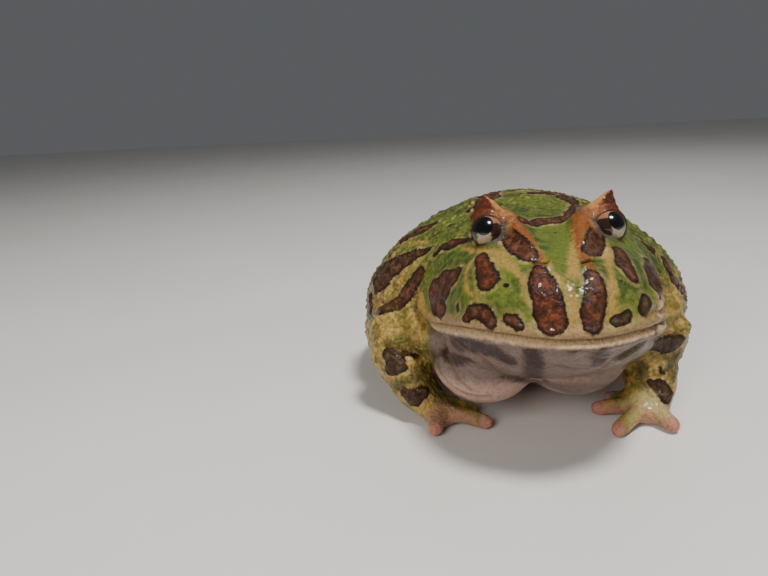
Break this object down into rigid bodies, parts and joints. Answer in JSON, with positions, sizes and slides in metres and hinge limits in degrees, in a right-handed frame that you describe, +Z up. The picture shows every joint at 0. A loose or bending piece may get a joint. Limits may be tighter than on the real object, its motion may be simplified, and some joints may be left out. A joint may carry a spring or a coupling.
{
  "type": "argentine horned frog",
  "caption": "Life-size model of a horned frog sitting up on its arms, with a wide mouth and a pointed horn over each eye.",
  "frame": {"origin": "middle of the bounding box at the floor the frog sits on", "axes": "+Z up, the frog faces -Y and its left side is +X"},
  "size_m": [0.1022, 0.1082, 0.0644],
  "materials": {
    "mottled_skin": "wet, granular, green with brown blotches edged in yellow",
    "throat_skin": "wet, smooth, cream lip and grey mottled throat",
    "limb_skin": "wet, granular, olive yellow with dark bands",
    "horn_skin": "moist, granular, orange",
    "eye": "clear and glossy over black"
  },
  "bodies": {
    "root": {"head": "mottled_skin", "lower_jaw": "throat_skin", "torso": "mottled_skin", "eye_left": "eye", "eye_right": "eye", "horn_left": "horn_skin", "horn_right": "horn_skin", "upper_arm_left": "limb_skin", "upper_arm_right": "limb_skin", "forearm_left": "limb_skin", "forearm_right": "limb_skin", "hand_left": "limb_skin", "hand_right": "limb_skin", "thigh_left": "limb_skin", "thigh_right": "limb_skin", "shank_left": "limb_skin", "shank_right": "limb_skin", "foot_left": "limb_skin", "foot_right": "limb_skin"}
  },
  "joints": []
}
